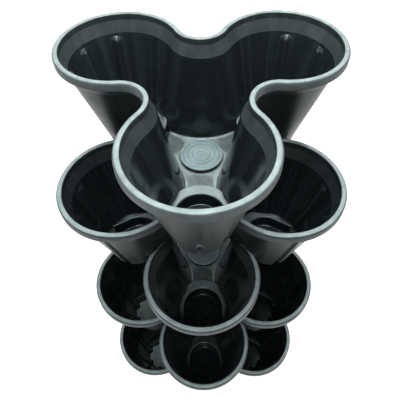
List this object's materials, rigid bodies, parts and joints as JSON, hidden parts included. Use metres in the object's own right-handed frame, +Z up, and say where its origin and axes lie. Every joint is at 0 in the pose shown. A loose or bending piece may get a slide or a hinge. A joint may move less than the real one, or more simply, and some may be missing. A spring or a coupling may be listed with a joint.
{
  "type": "vertical planter tower",
  "caption": "Free-standing tower of stacked trefoil planting pots, each turned across the one below, with a round cap in the middle of each floor.",
  "frame": {"origin": "on the ground, on the tower's middle axis, under the bottom pot", "axes": "+Z up along the tower, the top pot's front pocket faces -Y, +X to the right"},
  "size_m": [0.3564, 0.387, 0.7655],
  "materials": {
    "pot_plastic": "black moulded plastic, glossy",
    "cap_plastic": "black moulded plastic, glossy"
  },
  "bodies": {
    "pot_1_body": {"pot_1_top": "pot_plastic"},
    "cap_1_body": {"centre_cap_1": "cap_plastic"},
    "pot_2_body": {"pot_2": "pot_plastic"},
    "cap_2_body": {"centre_cap_2": "cap_plastic"},
    "pot_3_body": {"pot_3": "pot_plastic"},
    "cap_3_body": {"centre_cap_3": "cap_plastic"},
    "pot_4_body": {"pot_4": "pot_plastic"},
    "cap_4_body": {"centre_cap_4": "cap_plastic"},
    "pot_5_body": {"pot_5": "pot_plastic"},
    "cap_5_body": {"centre_cap_5": "cap_plastic"},
    "pot_6_body": {"pot_6_base": "pot_plastic"},
    "cap_6_body": {"centre_cap_6": "cap_plastic"}
  },
  "joints": [
    {"name": "pot_5_lift", "type": "slide", "parent": "pot_6_body", "child": "pot_5_body", "axis": [0, 0, 1], "range_m": [0, 0.06]},
    {"name": "pot_4_lift", "type": "slide", "parent": "pot_5_body", "child": "pot_4_body", "axis": [0, 0, 1], "range_m": [0, 0.06]},
    {"name": "pot_3_lift", "type": "slide", "parent": "pot_4_body", "child": "pot_3_body", "axis": [0, 0, 1], "range_m": [0, 0.06]},
    {"name": "pot_2_lift", "type": "slide", "parent": "pot_3_body", "child": "pot_2_body", "axis": [0, 0, 1], "range_m": [0, 0.06]},
    {"name": "pot_1_lift", "type": "slide", "parent": "pot_2_body", "child": "pot_1_body", "axis": [0, 0, 1], "range_m": [0, 0.06]},
    {"name": "cap_1_lift", "type": "slide", "parent": "pot_1_body", "child": "cap_1_body", "axis": [0, 0, 1], "range_m": [0, 0.155]},
    {"name": "cap_2_lift", "type": "slide", "parent": "pot_2_body", "child": "cap_2_body", "axis": [0, 0, 1], "range_m": [0, 0.11]},
    {"name": "cap_3_lift", "type": "slide", "parent": "pot_3_body", "child": "cap_3_body", "axis": [0, 0, 1], "range_m": [0, 0.11]},
    {"name": "cap_4_lift", "type": "slide", "parent": "pot_4_body", "child": "cap_4_body", "axis": [0, 0, 1], "range_m": [0, 0.11]},
    {"name": "cap_5_lift", "type": "slide", "parent": "pot_5_body", "child": "cap_5_body", "axis": [0, 0, 1], "range_m": [0, 0.11]},
    {"name": "cap_6_lift", "type": "slide", "parent": "pot_6_body", "child": "cap_6_body", "axis": [0, 0, 1], "range_m": [0, 0.11]}
  ]
}
